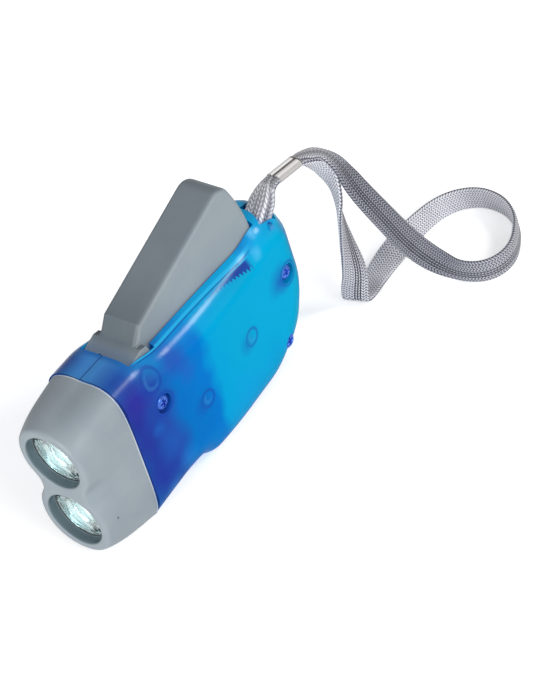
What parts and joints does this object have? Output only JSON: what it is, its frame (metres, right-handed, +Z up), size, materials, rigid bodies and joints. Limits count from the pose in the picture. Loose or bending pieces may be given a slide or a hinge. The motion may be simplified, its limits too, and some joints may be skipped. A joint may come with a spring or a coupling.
{
  "type": "flashlight",
  "caption": "Hand-squeezed dynamo flashlight with a see-through housing, two lights, a sprung squeeze lever that spins a flywheel generator, and a braided wrist strap.",
  "frame": {"origin": "middle of the torch's length on the surface it stands on, in the parting plane of the housing halves", "axes": "+X from the head towards the strap, +Y towards the switch side, +Z up towards the lever"},
  "size_m": [0.1683, 0.0634, 0.0713],
  "materials": {
    "blue_shell": "see-through blue moulded polystyrene, glossy",
    "grey_plastic": "satin moulded grey ABS",
    "clear_lens": "clear moulded acrylic",
    "reflector": "metallised bright",
    "led": "clear epoxy dome",
    "board": "glass fibre board",
    "dark_gear": "moulded acetal",
    "white_gear": "moulded acetal",
    "steel": "drawn steel",
    "cast_metal": "sintered metal",
    "copper": "enamelled copper wire",
    "cell": "nickel plated",
    "black_plastic": "moulded",
    "ferrule": "bright plated",
    "braid": "braided polyester"
  },
  "bodies": {
    "housing": {"left_shell": "blue_shell", "right_shell": "blue_shell", "head_cap": "grey_plastic", "lens_upper": "clear_lens", "lens_lower": "clear_lens", "reflector_upper": "reflector", "reflector_lower": "reflector", "led_upper": "led", "led_lower": "led", "led_board": "board", "pivot_pin": "steel", "return_spring": "steel", "drive_shaft": "steel", "rotor_shaft": "steel", "stator_yoke": "steel", "stator_coil": "copper", "button_cells": "cell", "cell_clip": "steel", "circuit_board": "board", "switch_body": "black_plastic", "case_screws": "steel", "strap_pin": "steel", "strap_ferrule": "ferrule", "strap_anchor": "braid", "wrist_strap": "braid"},
    "lever": {"lever": "grey_plastic", "rack_sector": "dark_gear"},
    "drive_gear": {"drive_pinion": "white_gear", "drive_wheel": "white_gear"},
    "rotor": {"rotor_pinion": "white_gear", "flywheel": "cast_metal", "magnet_ring": "cast_metal"},
    "button": {"switch_button": "grey_plastic"}
  },
  "joints": [
    {"name": "lever_hinge", "type": "hinge", "parent": "housing", "child": "lever", "pos_m": [-0.0207, 0, 0.0461], "axis": [0, 1, 0], "range_deg": [0, 17.5], "stiffness_Nm_per_rad": 0.6, "springref_deg": -17.19, "deforming": ["return_spring"]},
    {"name": "drive_gear_spin", "type": "hinge", "parent": "housing", "child": "drive_gear", "pos_m": [0.02057, 0, 0.02579], "axis": [0, 1, 0], "range_deg": [-116.68, 0]},
    {"name": "rotor_spin", "type": "hinge", "parent": "housing", "child": "rotor", "pos_m": [-0.00384, 0, 0.02374], "axis": [0, 1, 0], "range_deg": [0, 700.01]},
    {"name": "button_slide", "type": "slide", "parent": "housing", "child": "button", "axis": [1, 0, 0], "range_m": [0, 0.0025]}
  ],
  "couplings": [
    {"joint": "drive_gear_spin", "follows": "lever_hinge", "ratio": -6.6667},
    {"joint": "rotor_spin", "follows": "lever_hinge", "ratio": 40}
  ]
}
